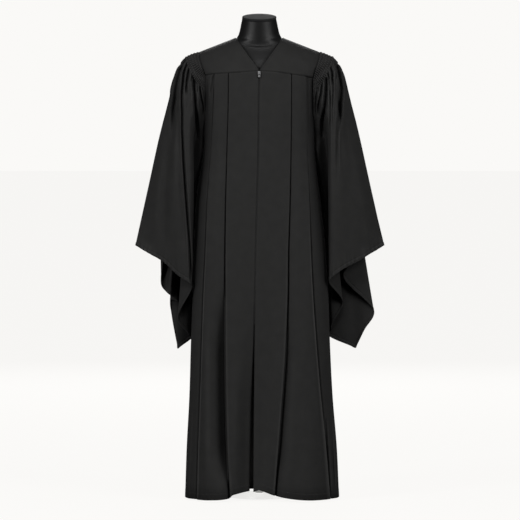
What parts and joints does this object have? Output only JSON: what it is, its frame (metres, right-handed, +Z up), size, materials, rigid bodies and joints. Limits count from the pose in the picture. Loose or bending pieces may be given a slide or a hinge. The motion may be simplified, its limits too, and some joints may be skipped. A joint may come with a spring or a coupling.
{
  "type": "choir robe on dress form",
  "caption": "Full-length choir robe with a V-neck yoke, pleated front, zip and bell sleeves, hanging on a limbless dress form.",
  "frame": {"origin": "on the underside of the stand's round foot, under the neck, where the floor is", "axes": "+Z up, the robe's front faces -Y, +X to the right of somebody who looks at the front"},
  "size_m": [0.7599, 0.3478, 1.4789],
  "materials": {
    "robe_cloth": "matt black woven polyester",
    "tape_cloth": "black zip tape",
    "form_satin": "black cloth cover with a soft shine",
    "form_cap_cloth": "black cloth over a flat cap",
    "stand_metal": "satin white",
    "zip_metal": "dull nickel plate"
  },
  "bodies": {
    "robe": {"front_yoke_left": "robe_cloth", "front_yoke_right": "robe_cloth", "back_yoke": "robe_cloth", "front_left": "robe_cloth", "front_right": "robe_cloth", "back": "robe_cloth", "sleeve_left": "robe_cloth", "sleeve_right": "robe_cloth", "zip_tape_left": "tape_cloth", "zip_tape_right": "tape_cloth", "zip_slider": "zip_metal", "form_torso": "form_satin", "form_cap": "form_cap_cloth", "stand_pole": "stand_metal", "stand_foot": "stand_metal"},
    "pull": {"zip_pull": "zip_metal"}
  },
  "joints": [
    {"name": "pull_swing", "type": "hinge", "parent": "robe", "child": "pull", "pos_m": [0, -0.1103, 1.2972], "axis": [-1, 0, 0], "range_deg": [0, 120]}
  ]
}
